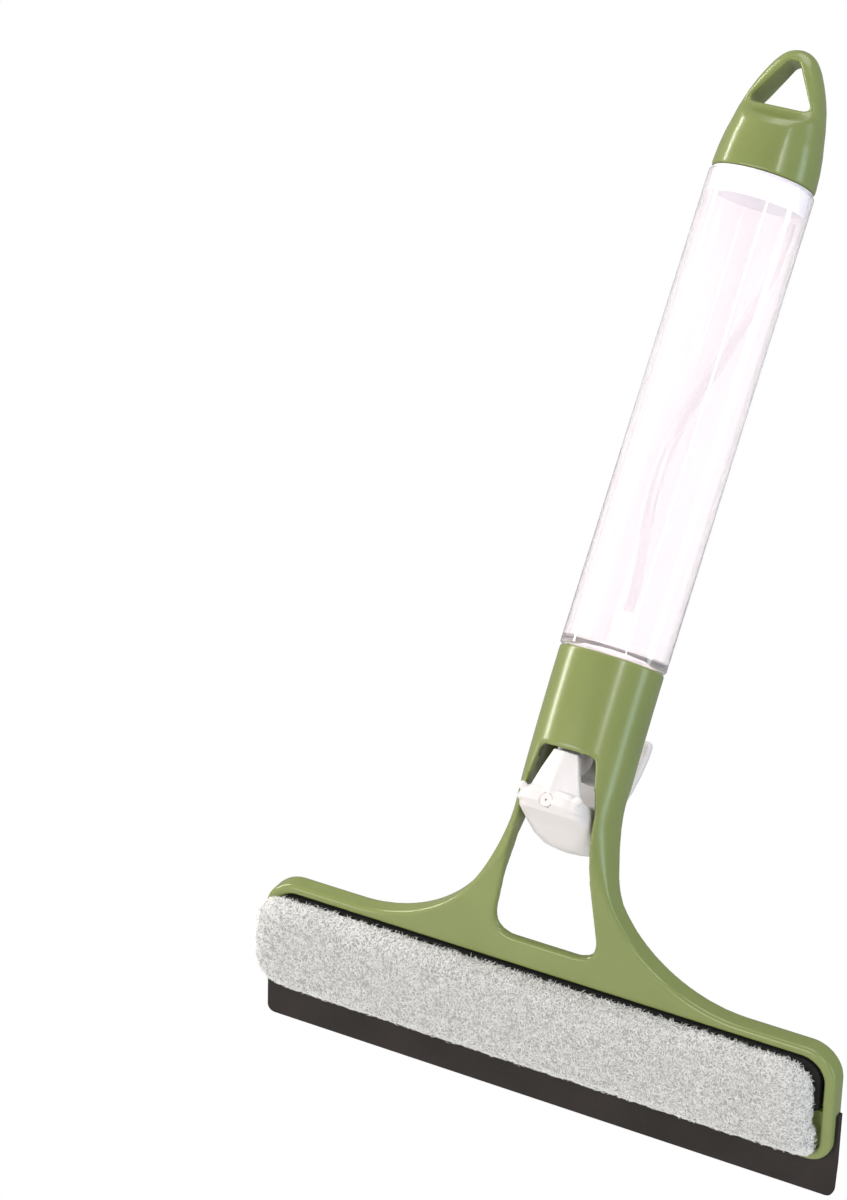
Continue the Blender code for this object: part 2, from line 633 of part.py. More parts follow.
# ---- pump ---------------------------------------------------------------------------------------------
cylinder_outer = CYLINDER_BORE + CYLINDER_WALL
stopper_radius = NECK_BORE - GAP
flange_radius = SOCKET_RADIUS - GAP
flange_foot = PUMP_SEAT + GAP
flange_top = neck_foot - GAP
chamber_radius = BALL_RADIUS + GAP
chamber_top = STOPPER_TOP
chamber_foot = chamber_top - 2 * BALL_RADIUS - BALL_TRAVEL - GAP
flange = cylinder("pump_body", flange_radius, (0, 0, flange_foot), (0, 0, flange_top), 40)
pump = placed("pump_body", flange, WHITE)
add(pump, cylinder("pump_stopper", stopper_radius, (0, 0, flange_foot + 0.001), (0, 0, chamber_top), 40))
add(pump, cylinder("pump_column", 0.0052, (0, 0, PISTON_Z), (0, 0, flange_foot + 0.001), 24))
cylinder_front = CYLINDER_FLOOR - CYLINDER_WALL
barrel = ((0, cylinder_front, PISTON_Z), (0, CYLINDER_BACK, PISTON_Z))
add(pump, cylinder("pump_cylinder", cylinder_outer, *barrel))
block_back = cylinder_front + 0.001
block_front = block_back - OUTLET_DEPTH
outlet_low = (-OUTLET_HALF_WIDTH, block_front, NOZZLE_Z - NOZZLE_RADIUS - 0.0011)
outlet_high = (OUTLET_HALF_WIDTH, block_back, PISTON_Z + OUTLET_HALF_WIDTH)
add(pump, box("pump_outlet", outlet_low, outlet_high))
barrel_bore = ((0, CYLINDER_FLOOR, PISTON_Z), (0, CYLINDER_BACK + OVERCUT, PISTON_Z))
cut(pump, cylinder("pump_bore", CYLINDER_BORE, *barrel_bore))
cut(pump, cylinder("ball_chamber", chamber_radius, (0, 0, chamber_foot), (0, 0, chamber_top + OVERCUT), 24))
cut(pump, cylinder("inlet_way", INLET_RADIUS, (0, 0, PISTON_Z), (0, 0, chamber_top), 16))
channel_y = (block_front + block_back) / 2
CHANNEL = 0.0012
cut(pump, cylinder("outlet_way_up", CHANNEL, (0, channel_y, NOZZLE_Z), (0, channel_y, PISTON_Z), 12))
cut(pump, cylinder("outlet_way_in", CHANNEL, (0, channel_y, PISTON_Z), (0, 0, PISTON_Z), 12))
outlet_mouth = (0, block_front - OVERCUT, NOZZLE_Z)
cut(pump, cylinder("outlet_way_out", CHANNEL, outlet_mouth, (0, channel_y, NOZZLE_Z), 12))
seat_floor = block_front + VALVE_THICKNESS + 2 * GAP
cut(pump, cylinder("valve_seat", VALVE_RADIUS + GAP, outlet_mouth, (0, seat_floor, NOZZLE_Z), 20))
valve = ((0, block_front + GAP, NOZZLE_Z), (0, seat_floor - GAP, NOZZLE_Z))
placed("outlet_valve", cylinder("outlet_valve", VALVE_RADIUS, *valve, 20), SILICONE)
ball_z = chamber_foot + GAP + BALL_RADIUS
ball_mesh = bpy.data.meshes.new("inlet_ball")
ball_work = bmesh.new()
bmesh.ops.create_uvsphere(ball_work, u_segments=16, v_segments=10, radius=BALL_RADIUS)
ball_work.to_mesh(ball_mesh)
ball_work.free()
ball = placed("inlet_ball", ball_mesh, STEEL)
ball.location = (0, 0, ball_z)

# ribbed adapter that seats the ball and holds the dip tube
ADAPTER_TOP = STOPPER_TOP + 0.0170
ADAPTER_RADIUS = 0.0042
RIB_HEIGHT = 0.0006
dip_bore = DIP_RADIUS + GAP
adapter = [(ADAPTER_RADIUS - RIB_HEIGHT, ADAPTER_TOP)]
rib_foot = chamber_top + GAP + 0.0030
ribs = 4
for rib in range(ribs):
    top = ADAPTER_TOP - 0.0015 - rib * (ADAPTER_TOP - 0.0015 - rib_foot) / ribs
    adapter += [
        (ADAPTER_RADIUS - RIB_HEIGHT, top), (ADAPTER_RADIUS, top - 0.0008),
        (ADAPTER_RADIUS, top - 0.0014), (ADAPTER_RADIUS - RIB_HEIGHT, top - 0.0018),
    ]
adapter += [
    (0.0066, rib_foot - 0.0008), (0.0066, chamber_top + GAP), (0.0012, chamber_top + GAP),
    (0.0012, chamber_top + GAP + 0.0020), (dip_bore, chamber_top + GAP + 0.0024), (dip_bore, ADAPTER_TOP),
]
turned("dip_tube_adapter", adapter, WHITE, steps=24)

# dip tube: straight out of the adapter, then a slow curve across the bottle to its far corner
DIP_POINTS = 30
dip_foot = chamber_top + 0.0040
dip_top = TUBE_TOP - CAP_PLUG_LENGTH - 0.0040
dip_curve = bpy.data.curves.new("dip_tube", "CURVE")
dip_curve.dimensions = "3D"
dip_curve.bevel_depth = DIP_RADIUS - DIP_WALL
dip_curve.bevel_resolution = 3
dip_line = dip_curve.splines.new("POLY")
dip_line.points.add(DIP_POINTS - 1)
DIP_SWAY = 0.0095             # bows this far to -X
DIP_ROOM = 0.0009             # and ends this far from the bore's side
DIP_REACH = TUBE_BORE - DIP_RADIUS - DIP_ROOM
for point, share in zip(dip_line.points, np.linspace(0, 1, DIP_POINTS)):
    free = max((share * (dip_top - dip_foot) - 0.018) / (dip_top - dip_foot - 0.018), 0)
    bow = -DIP_SWAY * math.sin(math.pi * free) ** 2 * (1 - free) * 2.0
    reach = DIP_REACH * free * free * (3 - 2 * free)
    x = bow + reach
    y = 0.0040 * math.sin(math.pi * free) ** 2
    point.co = (x, y, dip_foot + share * (dip_top - dip_foot), 1)
dip_guide = bpy.data.objects.new("dip_guide", dip_curve)
parts.objects.link(dip_guide)
dip_mesh = bpy.data.meshes.new_from_object(dip_guide.evaluated_get(bpy.context.evaluated_depsgraph_get()))
bpy.data.objects.remove(dip_guide)
dip_mesh.name = "dip_tube"
dip = placed("dip_tube", dip_mesh, MILKY)
wall = dip.modifiers.new("wall", "SOLIDIFY")
wall.thickness = DIP_WALL
wall.offset = 1

# ---- spray housing ------------------------------------------------------------------------------------
# height, half width, front, back: a narrow ridge above, then a bowl whose underside runs down to the back
BOWL = (
    (-0.0508, 0.52, -0.0172, -0.0100), (-0.0520, 0.86, -0.0196, 0.0), (-0.0535, 0.95, -0.0205, 0.0165),
    (-0.0570, 0.98, -0.0208, 0.0165), (-0.0600, 1.00, -0.0170, 0.0165), (-0.0640, 1.00, -0.0060, 0.0165),
    (-0.0672, 0.92, 0.0010, 0.0163), (-0.0697, 0.72, 0.0070, 0.0160), (-0.0710, 0.30, 0.0110, 0.0150),
)
EAR_RADIUS = 0.0018
EAR_Y = -0.0182
EAR_Z = -0.0526
RIDGE_BACK = -0.0126
RIDGE = (
    (-0.0374, 0.0048, -0.0172, 0.0013),
    (-0.0450, 0.0074, -0.0192, 0.0036),
    (-0.0560, 0.0112, -0.0208, 0.0072),
)


def ridge_ring(height, half_width, front, drop):
    """Six-sided ring with two faces that meet in a ridge at the front."""
    back = RIDGE_BACK
    side = front + drop
    return [
        (0, front, height), (half_width * 0.62, front + drop * 0.30, height), (half_width, side, height),
        (half_width, back, height), (-half_width, back, height), (-half_width, side, height),
        (-half_width * 0.62, front + drop * 0.30, height),
    ]


bowl_rings = [
    oval(HOUSING_HALF_WIDTH * wide, (back - front) / 2, (front + back) / 2, height, 0.62, 5)
    for height, wide, front, back in BOWL
]
housing = placed("spray_housing", loft("spray_housing", bowl_rings), WHITE)
add(housing, loft("housing_ridge", [ridge_ring(*row) for row in RIDGE]))
for side in (-1, 1):
    ear_mesh = bpy.data.meshes.new(f"housing_ear_{'left' if side < 0 else 'right'}")
    ear_work = bmesh.new()
    ear_place = Matrix.Translation((side * (HOUSING_HALF_WIDTH - EAR_RADIUS - GAP), EAR_Y, EAR_Z))
    bmesh.ops.create_uvsphere(ear_work, u_segments=14, v_segments=8, radius=EAR_RADIUS, matrix=ear_place)
    ear_work.to_mesh(ear_mesh)
    ear_work.free()
    add(housing, ear_mesh)
inside = HOUSING_HALF_WIDTH - HOUSING_WALL
inside_rings = [
    oval(inside * wide, (back - front) / 2, (front + back) / 2, height, 0.62, 5)
    for height, wide, front, back in (
        (-0.0420, 0.98, -0.0124, 0.0300), (-0.0598, 1.00, -0.0126, 0.0300), (-0.0621, 0.98, -0.0060, 0.0300),
        (-0.0652, 0.88, 0.0012, 0.0300), (-0.0676, 0.60, 0.0072, 0.0300),
    )
]
cut(housing, loft("housing_inside", inside_rings))
nozzle_way = ((0, -0.0300, NOZZLE_Z), (0, -0.0100, NOZZLE_Z))
cut(housing, cylinder("nozzle_hole", NOZZLE_RADIUS + GAP, *nozzle_way, 24))
insert_ends = ((0, NOZZLE_FRONT, NOZZLE_Z), (0, block_front - GAP, NOZZLE_Z))
insert = placed("nozzle_insert", cylinder("nozzle_insert", NOZZLE_RADIUS, *insert_ends, 24), WHITE)
cut(insert, cylinder("spray_orifice", 0.0004, (0, -0.0300, NOZZLE_Z), (0, -0.0100, NOZZLE_Z), 10))
swirl_front = NOZZLE_FRONT + 0.0020
swirl_room = ((0, swirl_front, NOZZLE_Z), (0, -0.0100, NOZZLE_Z))
cut(insert, cylinder("swirl_room", SWIRL_RADIUS + 0.0004, *swirl_room, 16))
swirl_ends = ((0, swirl_front + 0.0004, NOZZLE_Z), (0, block_front - 2 * GAP, NOZZLE_Z))
placed("swirl_pin", cylinder("swirl_pin", SWIRL_RADIUS, *swirl_ends, 12), WHITE)
pin_way = PIN_RADIUS + PIN_CLEARANCE
pin_line = ((-0.030, PIVOT_Y, PIVOT_Z), (0.030, PIVOT_Y, PIVOT_Z))
cut(housing, cylinder("housing_pin_way", pin_way, *pin_line, 24))
pin_half = HOUSING_HALF_WIDTH + 0.0006
pin_ends = ((-pin_half, PIVOT_Y, PIVOT_Z), (pin_half, PIVOT_Y, PIVOT_Z))
placed("trigger_pin", cylinder("trigger_pin", PIN_RADIUS, *pin_ends, 24), STEEL)

# ---- trigger ------------------------------------------------------------------------------------------
HUB = 0.0042


def trigger_outline():
    """Side view about the pivot: a hub, and a lever that swings out and up to a round free end."""
    outer = [(0.0105, 0.0030), (0.0167, 0.0083), (0.0211, 0.0147), (0.0244, 0.0218), (0.0266, 0.0290)]
    tip = arc((0.0250, 0.0325), LEVER_TIP_RADIUS, 0, 170, 5)
    inner = [(0.0232, 0.0290), (0.0211, 0.0223), (0.0181, 0.0165), (0.0140, 0.0108), (0.0080, 0.0056)]
    hub = arc((0, 0), HUB, 75, 340, 10)
    return outer + tip + inner + hub


trigger_mesh = plate("trigger", trigger_outline(), -TRIGGER_HALF_WIDTH, TRIGGER_HALF_WIDTH, "X")
trigger = placed("trigger", trigger_mesh, WHITE)
trigger.location = (0, PIVOT_Y, PIVOT_Z)
bevel(trigger, 0.0008)
cut(trigger, cylinder("trigger_pin_way", pin_way, *pin_line, 24))

# ---- piston -------------------------------------------------------------------------------------------
def along_bore(name, profile, finish, steps=24):
    """Turned piece whose axis lies along the pump's bore: heights in the profile are Y."""
    made = turned(name, profile, finish, steps=steps)
    made.location = (0, 0, PISTON_Z)
    made.rotation_euler = (math.radians(-90), 0, 0)
    return made


piston_front = INLET_RADIUS + 2 * GAP + PISTON_STROKE
piston_back = piston_front + PISTON_LENGTH
nose = PIVOT_Y + TRIGGER_REACH - GAP
piston_radius = CYLINDER_BORE - GAP
groove_radius = piston_radius - 0.0014
groove_foot = piston_front + 0.0014
groove_top = groove_foot + SEAL_WIDTH + 2 * GAP
nose_arc = [(ROD_RADIUS * math.cos(a), nose - ROD_RADIUS + ROD_RADIUS * math.sin(a))
            for a in np.radians(np.linspace(90, 0, 6))]
nose_arc[0] = (0, nose)
along_bore(
    "piston",
    nose_arc + [
        (ROD_RADIUS, piston_back), (piston_radius, piston_back), (piston_radius, groove_top),
        (groove_radius, groove_top), (groove_radius, groove_foot), (piston_radius, groove_foot),
        (piston_radius, piston_front), (0, piston_front),
    ],
    WHITE,
)
along_bore(
    "piston_seal",
    [
        (CYLINDER_BORE - SEAL_CLEARANCE, groove_foot + GAP + SEAL_WIDTH),
        (CYLINDER_BORE - SEAL_CLEARANCE, groove_foot + GAP),
        (groove_radius + GAP, groove_foot + GAP), (groove_radius + GAP, groove_foot + GAP + SEAL_WIDTH),
    ],
    RUBBER,
)

spring_curve = bpy.data.curves.new("piston_spring", "CURVE")
spring_curve.dimensions = "3D"
spring_curve.bevel_depth = SPRING_WIRE / 2
spring_curve.bevel_resolution = 2
spring_curve.use_fill_caps = True
coil = spring_curve.splines.new("POLY")
spring_points = SPRING_TURNS * 16 + 1
coil.points.add(spring_points - 1)
spring_foot = CYLINDER_FLOOR + GAP + SPRING_WIRE / 2
spring_end = piston_front - GAP - SPRING_WIRE / 2
for step, point in enumerate(coil.points):
    share = step / (spring_points - 1)
    angle = 2 * math.pi * SPRING_TURNS * share
    along = spring_foot + (spring_end - spring_foot) * share
    point.co = (SPRING_RADIUS * math.cos(angle), along, PISTON_Z + SPRING_RADIUS * math.sin(angle), 1)
spring_guide = bpy.data.objects.new("spring_guide", spring_curve)
parts.objects.link(spring_guide)
wound = spring_guide.evaluated_get(bpy.context.evaluated_depsgraph_get())
spring_mesh = bpy.data.meshes.new_from_object(wound)
bpy.data.objects.remove(spring_guide)
placed("piston_spring", spring_mesh, STEEL)
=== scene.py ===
import math

import bpy
import numpy as np
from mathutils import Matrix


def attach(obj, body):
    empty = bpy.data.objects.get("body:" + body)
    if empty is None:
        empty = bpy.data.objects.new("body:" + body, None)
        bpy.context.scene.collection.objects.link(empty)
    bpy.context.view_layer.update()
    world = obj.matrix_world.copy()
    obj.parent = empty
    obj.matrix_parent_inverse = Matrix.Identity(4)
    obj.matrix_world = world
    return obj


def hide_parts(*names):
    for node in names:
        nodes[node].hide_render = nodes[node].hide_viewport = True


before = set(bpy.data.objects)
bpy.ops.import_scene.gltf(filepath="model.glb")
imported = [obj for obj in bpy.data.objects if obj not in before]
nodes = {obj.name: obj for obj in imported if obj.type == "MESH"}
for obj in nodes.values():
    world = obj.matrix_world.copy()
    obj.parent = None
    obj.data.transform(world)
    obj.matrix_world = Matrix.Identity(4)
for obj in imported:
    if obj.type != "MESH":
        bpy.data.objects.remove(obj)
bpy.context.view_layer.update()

# ---- moulded frame: collar, two legs and crossbar in one piece -----------------------------------------
# Injection-moulded polypropylene, sage green, with a satin polish on the tool. The neck is a shell open
# behind; the crossbar has a tray for the pad in front and a slot for the blade below.
RIM = -228.0                  # the collar's rim, mm above the hook point; all sizes below are in mm from it
TILT = math.radians(35.6)
COS, SIN = math.cos(TILT), math.sin(TILT)
HEAD_Y, HEAD_Z = 63.1, -160.1  # the blade's wiping edge
COLLAR, FLARE, BAR_TOP = 19.5, 60.0, 61.9
FRONT, BACK = 4.3, -5.5       # the bar's two faces, in front of the blade's face
BAR_HALF, BAR_FOOT = 117.2, 15.6
TRAY_HALF = 112.8
BEND_UP, WAIST = 135.9, 78.0  # up the head: where the neck starts to bend, and where it meets the bar
GAP = 0.3


def soft_max(a, b, width):
    """The larger of two fields; where they differ by less than width, width / 4 is added in a parabola."""
    near = np.maximum(width - np.abs(a - b), 0) / width
    return np.maximum(a, b) + near * near * width / 4


def soft_min(a, b, width):
    return -soft_max(-a, -b, width)


def step_up(value):
    """0 below 0, 1 above 1, and the cubic 3t^2 - 2t^3 between."""
    share = np.clip(value, 0, 1)
    return share * share * (3 - 2 * share)


def round_plate(across, up, half, low, high, foot_corner, top_corner):
    """Distance to an upright rectangle with round corners: the hypotenuse of how far each side is passed."""
    middle = (low + high) / 2
    corner = np.where(up > middle, top_corner, foot_corner)
    a = across - half + corner
    b = np.abs(up - middle) - (high - low) / 2 + corner
    return np.minimum(np.maximum(a, b), 0) + np.hypot(np.maximum(a, 0), np.maximum(b, 0)) - corner


def frame_field(x, y, z):
    """Negative inside the plastic. The neck is a cylinder that planes close in on from the front and the
    back, down to the head's plane, with quarter circles for sides out to the bar. The bar is a plate. The
    hollows are taken off."""
    x = np.abs(x)
    up = COS * (z - HEAD_Z) - SIN * (y - HEAD_Y)
    out = -COS * (y - HEAD_Y) - SIN * (z - HEAD_Z)
    back_set = 2.9 * np.clip(z / -53.0, 0, 1.3) ** 1.6
    front_depth = soft_min(y + COLLAR - back_set, FRONT - out, 3.0)
    back_depth = soft_max(COLLAR + back_set - y, out - BACK, 3.0)
    front_up = COS * (z - HEAD_Z) - SIN * (back_set - COLLAR - HEAD_Y)
    mixed = step_up((BEND_UP - front_up) / 52)
    height = front_up * (1 - mixed) + up * mixed
    corner = 0.98 - 0.78 * step_up((BEND_UP - height) / 41)
    corner = corner * np.clip((front_depth + back_depth) / 2, 4.0, COLLAR)
    circle = FLARE - np.hypot(x - COLLAR - FLARE, up - BAR_TOP - FLARE)
    side = np.where(up > BAR_TOP + FLARE, x - COLLAR, np.where(x > COLLAR + FLARE, up - BAR_TOP, circle))
    a, b = side + corner, corner - np.minimum(front_depth, back_depth)
    neck = np.minimum(np.maximum(a, b), 0) + np.hypot(np.maximum(a, 0), np.maximum(b, 0)) - corner
    neck = soft_max(neck, z, 1.1)

    plate = round_plate(x, up, BAR_HALF, BAR_FOOT, BAR_TOP, 9.0, 13.0)
    flare = np.maximum(side, np.maximum(40 - up, x - COLLAR - FLARE))
    bar = soft_max(soft_max(np.minimum(plate, flare), out - FRONT, 2.0), BACK - out, 3.6)
    bar = soft_max(bar, -np.maximum(up - 35.3, np.maximum(out - GAP, -3.3 - out)), 0.5)
    bar = soft_max(bar, -np.maximum(up - 21.0, out + 3.0), 0.6)
    bar = soft_max(bar, -np.maximum(TRAY_HALF - x, np.maximum(up - 33.0, out + 1.5)), 0.8)
    share = step_up((up - WAIST) / 28)
    body = np.where(up > WAIST, bar * (1 - share) + neck * share, bar)

    edge = 7.8 + 0.20 * (-50.0 - z) - y
    behind = np.maximum(soft_max(z + 44.0, edge * 0.98, 7.0), out - BACK + 0.05)
    body = soft_max(body, -behind, 1.6)
    front_wall = out - 0.6 + 4.5 * step_up((up - 92) / 18)
    shell = soft_max(soft_max(side + 2.9, 65.5 - up, 3.0), front_wall, 2.0)
    hollow = np.maximum(shell, up - 114.0)
    spread = 14.2 + 0.162 * (np.sqrt((118.0 - up) ** 2 + 9) + 118.0 - up) / 2
    spread = spread - 3.5 * np.clip((z + 56.0) / 19.4, 0, 1)
    opening = soft_max((x - spread) * 0.987, 69.4 - up, 10.5)
    opening = np.maximum(opening, up - 133.9)
    window = soft_max(x - spread, z + 36.6, 2.6)
    opening = soft_min(opening, np.maximum(window, y), 1.0)
    body = soft_max(body, -soft_min(opening, hollow, 1.0), 1.7)
    round_hole = np.hypot(x, y - 2.4) - 16.6 + 0.3 * np.clip(-57.0 - z, 0, 10)
    bore = np.maximum(round_hole, np.maximum(z + 30.6, -66.5 - z))
    bore = np.minimum(bore, np.maximum(np.hypot(x, y) - 16.2, np.maximum(z + 9.8, -40.6 - z)))
    bore = np.minimum(bore, np.maximum(np.hypot(x, y) - 17.3, -14.8 - z))
    body = soft_max(body, -bore, 0.8)
    back_window = np.maximum(soft_max(x - 11.0, np.abs(z + 44.0) - 18.0, 2.0), 9.0 - y)
    body = soft_max(body, -back_window, 1.0)

    deep = np.maximum(round_plate(x, up, TRAY_HALF, 36.0, 58.4, 1.0, 9.5), -2.2 - out)
    shallow = np.maximum(round_plate(x, up, TRAY_HALF, 18.6, 44.0, 6.0, 1.0), 1.5 - out)
    return soft_max(body, -np.minimum(deep, shallow), 1.1)


def slope_of(field, points, reach):
    """The field's steepest slope at each point, from its values a little to both sides along each axis."""
    slope = np.empty_like(points)
    for axis in range(3):
        ahead, behind = points.copy(), points.copy()
        ahead[:, axis] += reach
        behind[:, axis] -= reach
        slope[:, axis] = (field(*ahead.T) - field(*behind.T)) / (2 * reach)
    return slope


def piece(name, points, faces, material, normals=None):
    """An object at the origin from points in mm above the rim and faces of equal corner counts."""
    mesh = bpy.data.meshes.new(name)
    mesh.vertices.add(len(points))
    mesh.vertices.foreach_set("co", ((points + (0, 0, RIM)) / 1000).astype(np.float32).ravel())
    sides = faces.shape[1]
    mesh.loops.add(faces.size)
    mesh.loops.foreach_set("vertex_index", faces.astype(np.int32).ravel())
    mesh.polygons.add(len(faces))
    mesh.polygons.foreach_set("loop_start", np.arange(0, faces.size, sides, dtype=np.int32))
    mesh.update(calc_edges=True)
    mesh.shade_smooth()
    if normals is not None:
        mesh.normals_split_custom_set_from_vertices(normals.astype(np.float32))
    mesh.materials.append(material)
    made = bpy.data.objects.new(name, mesh)
    bpy.context.scene.collection.objects.link(made)
    return made


def net(field, low, high, step):
    """Points, squares and normals of the surface where the field is 0. The field is sampled on a cubic grid.
    Each cell that the surface crosses gets one point, the mean of the crossings on its edges, moved along
    the slope onto the surface. Each crossed grid edge gets the square of its four cells' points."""
    lines = [np.arange(low[k], high[k] + step, step) for k in range(3)]
    value = field(*np.meshgrid(*lines, indexing="ij"))
    owners, places, squares = [], [], []
    for axis in range(3):
        ahead = np.roll(value, -1, axis)
        crossed = (value < 0) != (ahead < 0)
        at = np.argwhere(crossed)
        here, there = value[crossed], ahead[crossed]
        place = at.astype(float)
        place[:, axis] += here / (here - there)
        around = []
        for back in ((0, 0), (1, 0), (1, 1), (0, 1)):
            cell = at.copy()
            cell[:, (axis + 1) % 3] -= back[0]
            cell[:, (axis + 2) % 3] -= back[1]
            around.append(np.ravel_multi_index(cell.T, value.shape))
        around = np.stack(around, axis=1)
        squares.append(np.where((here < 0)[:, None], around, around[:, ::-1]))
        owners.append(around.T.ravel())
        places.append(np.tile(place, (4, 1)))
    owner, index = np.unique(np.concatenate(owners), return_inverse=True)
    places = np.concatenate(places)
    count = np.bincount(index)
    points = np.stack([np.bincount(index, places[:, k]) / count for k in range(3)], axis=1) * step + low
    faces = np.searchsorted(owner, np.concatenate(squares))
    for _ in range(4):
        slope = slope_of(field, points, 0.05)
        move = slope * (field(*points.T) / np.maximum((slope * slope).sum(axis=1), 0.1))[:, None]
        points -= np.clip(move, -step / 3, step / 3)
    slope = slope_of(field, points, 0.3 * step)
    return points, faces, slope / np.linalg.norm(slope, axis=1)[:, None]


def linear(code):
    """An sRGB hex colour as linear red, green, blue and full alpha."""
    shares = [int(code[i : i + 2], 16) / 255 for i in (1, 3, 5)]
    return (*[s / 12.92 if s <= 0.04045 else ((s + 0.055) / 1.055) ** 2.4 for s in shares], 1.0)


def add_node(material, kind, inputs, **settings):
    """Adds a node, sets its properties, and sets or links its sockets."""
    made = material.node_tree.nodes.new("ShaderNode" + kind)
    for setting, value in settings.items():
        setattr(made, setting, value)
    for socket, value in inputs.items():
        if isinstance(value, bpy.types.NodeSocket):
            material.node_tree.links.new(value, made.inputs[socket])
        else:
            made.inputs[socket].default_value = value
    return made


def moulded(name, base, shade, roughness, grain, relief, patch=40.0, **shader_inputs):
    """A moulded or extruded finish: two shades in soft patches of this many mm, where the melt flowed, and
    a fine grain from the tool's surface, this many mm across and deep, which also varies the gloss."""
    material = bpy.data.materials.new(name)
    material.use_nodes = True
    shader = material.node_tree.nodes["Principled BSDF"]
    where = add_node(material, "TexCoord", {}).outputs["Object"]
    flow = add_node(material, "TexNoise", {"Vector": where, "Scale": 1000 / patch, "Detail": 3.0})
    fine = add_node(material, "TexNoise", {"Vector": where, "Scale": 1000 / grain, "Detail": 4.0})
    flow_range = {"Value": flow.outputs["Fac"], "From Min": 0.35, "From Max": 0.65}
    share = add_node(material, "MapRange", flow_range)
    colour = add_node(
        material, "Mix", {0: share.outputs[0], 6: linear(base), 7: linear(shade)}, data_type="RGBA"
    )
    speck = add_node(material, "MapRange", {"Value": fine.outputs["Fac"], "To Min": 0.97, "To Max": 1.03})
    toned = add_node(
        material, "Mix", {0: 1.0, 6: colour.outputs[2], 7: speck.outputs[0]},
        data_type="RGBA", blend_type="MULTIPLY",
    )
    gloss = {"Value": fine.outputs["Fac"], "To Min": roughness * 0.8, "To Max": roughness * 1.25}
    sheen = add_node(material, "MapRange", gloss)
    bump = add_node(
        material, "Bump", {"Height": fine.outputs["Fac"], "Strength": 0.6, "Distance": relief / 1000}
    )
    links = material.node_tree.links
    links.new(toned.outputs[2], shader.inputs["Base Color"])
    links.new(sheen.outputs[0], shader.inputs["Roughness"])
    links.new(bump.outputs[0], shader.inputs["Normal"])
    for socket, value in shader_inputs.items():
        shader.inputs[socket.replace("_", " ")].default_value = value
    return material


# polypropylene with a satin tool polish: soft highlights, a faint orange peel of about 1.2 mm
sage = moulded("sage_polypropylene", "#79844d", "#7e8951", 0.24, 1.2, 0.012, IOR=1.49)

points, faces, normals = net(frame_field, (-119.5, -21.5, -167.0), (119.5, 68.0, 1.5), 0.85)
moulded_frame = piece("moulded_frame", points, faces, sage, normals)
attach(moulded_frame, "frame_body")
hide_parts("frame")

# ---- hanging cap ---------------------------------------------------------------------------------------
# The same green polypropylene: a bullet-shaped moulding whose front and back are sliced to a flat loop with
# a round-cornered three-sided hole. A plug below turns and pulls in the bottle's mouth.
CAP_FOOT, CAP_HEIGHT = 183.0, 50.2
HOLE_TOP, HOLE_CORNER = 41.4, 3.3  # centre of the hole's top corner above the cap's foot, and its radius
CAP_ROWS = 401                # heights at which the table below is read
PLUG = 16.2                   # radius, inside the seal's cup
CAP_TABLE = np.array((
    (0.000, 1.000, 1.000), (0.016, 1.010, 1.010), (0.150, 0.990, 0.990), (0.270, 0.950, 0.945),
    (0.355, 0.905, 0.885), (0.410, 0.878, 0.755), (0.460, 0.855, 0.550), (0.500, 0.830, 0.435),
    (0.600, 0.765, 0.400), (0.700, 0.675, 0.370), (0.800, 0.560, 0.345), (0.880, 0.450, 0.320),
    (0.940, 0.335, 0.280), (0.980, 0.210, 0.225), (1.000, 0.100, 0.130),
))                            # share of the height, half width and half depth over the cap's radius


def smooth_row(column, width):
    """A column of the table, read at CAP_ROWS heights and averaged over this many of them."""
    fine = np.interp(np.linspace(0, 1, CAP_ROWS), CAP_TABLE[:, 0], CAP_TABLE[:, column])
    weights = np.hanning(width + 2)[1:-1]
    beyond = 2 * fine[-1] - fine[-2 : -2 - width // 2 : -1]
    padded = np.concatenate([np.full(width // 2, fine[0]), fine, beyond])
    return np.convolve(padded, weights / weights.sum(), "valid") * COLLAR


cap_wide, cap_deep = smooth_row(1, 33), smooth_row(2, 17)


def cap_field(x, y, z):
    """An ellipse whose two halves change with height, cut by a front and a back face, less the three-sided
    hole, whose sides are lines tangent to its corner circles, and with the plug and its bore."""
    x, y = np.abs(x), np.abs(y)
    share = np.clip((z - CAP_FOOT) / CAP_HEIGHT, 0, 1)
    wide = np.interp(share, np.linspace(0, 1, CAP_ROWS), cap_wide)
    deep = np.interp(share, np.linspace(0, 1, CAP_ROWS), cap_deep)
    near = np.hypot(x / wide, y / wide)
    round_part = (near - 1) * wide
    body = soft_max(round_part, y - deep, 3.2)
    body = soft_max(body, z - CAP_FOOT - CAP_HEIGHT, 2.5)
    body = soft_max(body, CAP_FOOT - z, 0.9)
    up = z - CAP_FOOT
    lean = math.atan2(8.2, HOLE_TOP - 29.5)
    down = x * math.sin(lean) - (up - HOLE_TOP) * math.cos(lean)
    taper = 0.9 * np.clip(down / 14.4, 0, 1)
    sides = x * math.cos(lean) + (up - HOLE_TOP) * math.sin(lean) - HOLE_CORNER + taper
    sides = np.where(down < 0, np.hypot(x, up - HOLE_TOP) - HOLE_CORNER, sides)
    hole = soft_max(sides, 26.5 - up, 4.0)
    body = soft_max(body, -hole, 1.9)
    plug = np.maximum(np.hypot(x, y) - PLUG, np.maximum(up - 1.8, -8.5 - up))
    body = np.minimum(body, plug)
    bore = np.interp(up, (-14.0, 6.0, 14.0, 15.0), (PLUG - 1.8, PLUG - 1.8, PLUG - 7.0, 0.0))
    return soft_max(body, -np.maximum(np.hypot(x, y) - bore, up - 15.0), 0.6)


points, faces, normals = net(cap_field, (-21.5, -21.5, 173.0), (21.5, 21.5, 235.0), 0.6)
loop_cap = piece("loop_cap", points, faces, sage, normals)
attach(loop_cap, "cap_body")
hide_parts("hanging_cap")

